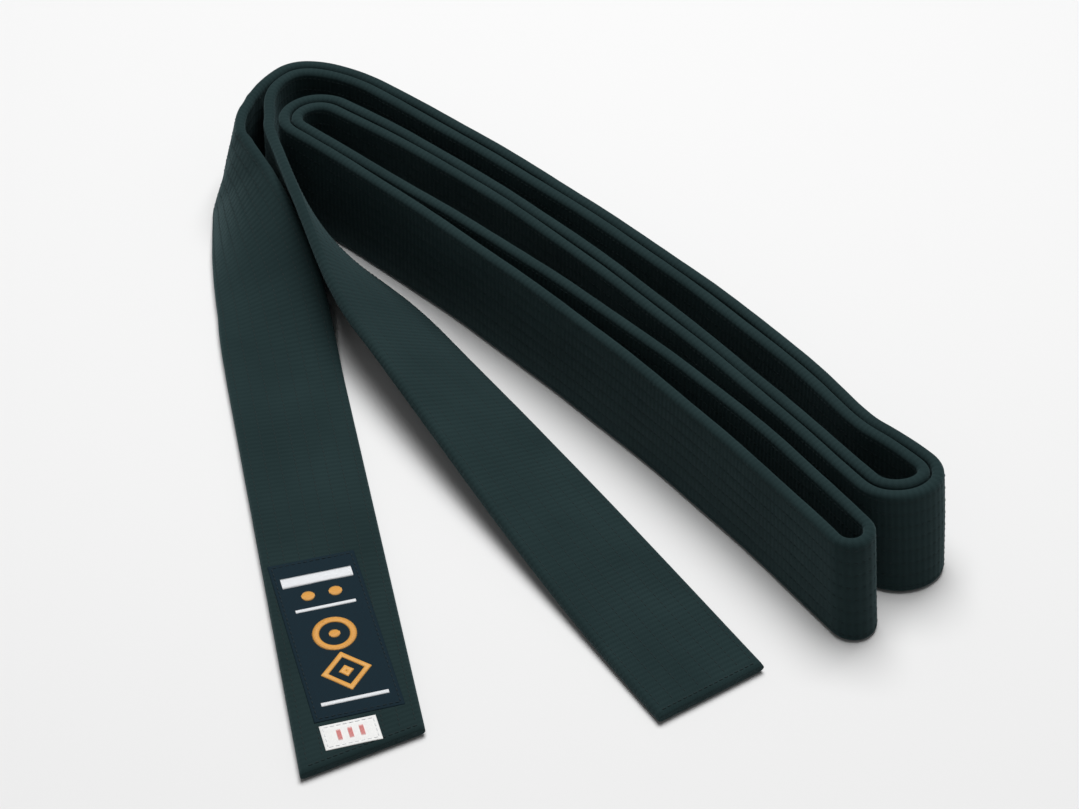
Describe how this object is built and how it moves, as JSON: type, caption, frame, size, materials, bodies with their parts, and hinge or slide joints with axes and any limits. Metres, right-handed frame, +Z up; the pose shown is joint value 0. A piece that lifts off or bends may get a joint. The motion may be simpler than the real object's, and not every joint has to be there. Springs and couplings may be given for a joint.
{
  "type": "martial arts belt",
  "caption": "Black quilted cotton martial arts belt, doubled and folded into a standing bundle, with two tails turned out flat and a woven label by one end.",
  "frame": {"origin": "on the floor under the middle of the bounding box", "axes": "+Z up; the folded bundle's strands run along X, and the tails leave its -X end towards +X and -Y"},
  "size_m": [0.3564, 0.2502, 0.0452],
  "materials": {
    "cover_cloth": "black cotton twill, matt, tinged with green-blue",
    "core_canvas": "undyed cotton canvas, sealed inside",
    "black_thread": "black cotton sewing thread",
    "label_cloth": "dark navy woven label cloth, slight sheen",
    "label_thread": "dark navy sewing thread",
    "gold_thread": "gold woven marks, slight sheen",
    "white_thread": "white woven marks and thread",
    "tag_cloth": "white woven tape",
    "red_thread": "pale red woven marks"
  },
  "bodies": {
    "bundle": {"cover_bundle": "cover_cloth", "quilting_bundle": "black_thread", "core_ply_1_bundle": "core_canvas", "core_ply_2_bundle": "core_canvas", "core_ply_3_bundle": "core_canvas", "core_ply_4_bundle": "core_canvas"},
    "tail_a": {"cover_tail_a": "cover_cloth", "quilting_tail_a": "black_thread", "end_stitching_tail_a": "black_thread", "label_patch": "label_cloth", "label_stitching": "label_thread", "label_ring": "gold_thread", "label_diamond": "gold_thread", "label_bars": "white_thread", "size_tag": "tag_cloth", "size_tag_stitching": "white_thread", "size_tag_bars": "red_thread", "core_ply_1_tail_a": "core_canvas", "core_ply_2_tail_a": "core_canvas", "core_ply_3_tail_a": "core_canvas", "core_ply_4_tail_a": "core_canvas"},
    "tail_b": {"cover_tail_b": "cover_cloth", "quilting_tail_b": "black_thread", "end_stitching_tail_b": "black_thread", "core_ply_1_tail_b": "core_canvas", "core_ply_2_tail_b": "core_canvas", "core_ply_3_tail_b": "core_canvas", "core_ply_4_tail_b": "core_canvas"}
  },
  "joints": [
    {"name": "tail_a_lift", "type": "hinge", "parent": "bundle", "child": "tail_a", "pos_m": [-0.05562, -0.0104, 0.0045], "axis": [-0.5225, -0.8526, -0.0001], "range_deg": [0, 90]},
    {"name": "tail_b_lift", "type": "hinge", "parent": "bundle", "child": "tail_b", "pos_m": [0.0119, 0.02875, 0.01186], "axis": [-0.1634, -0.9265, 0.339], "range_deg": [0, 90]}
  ]
}
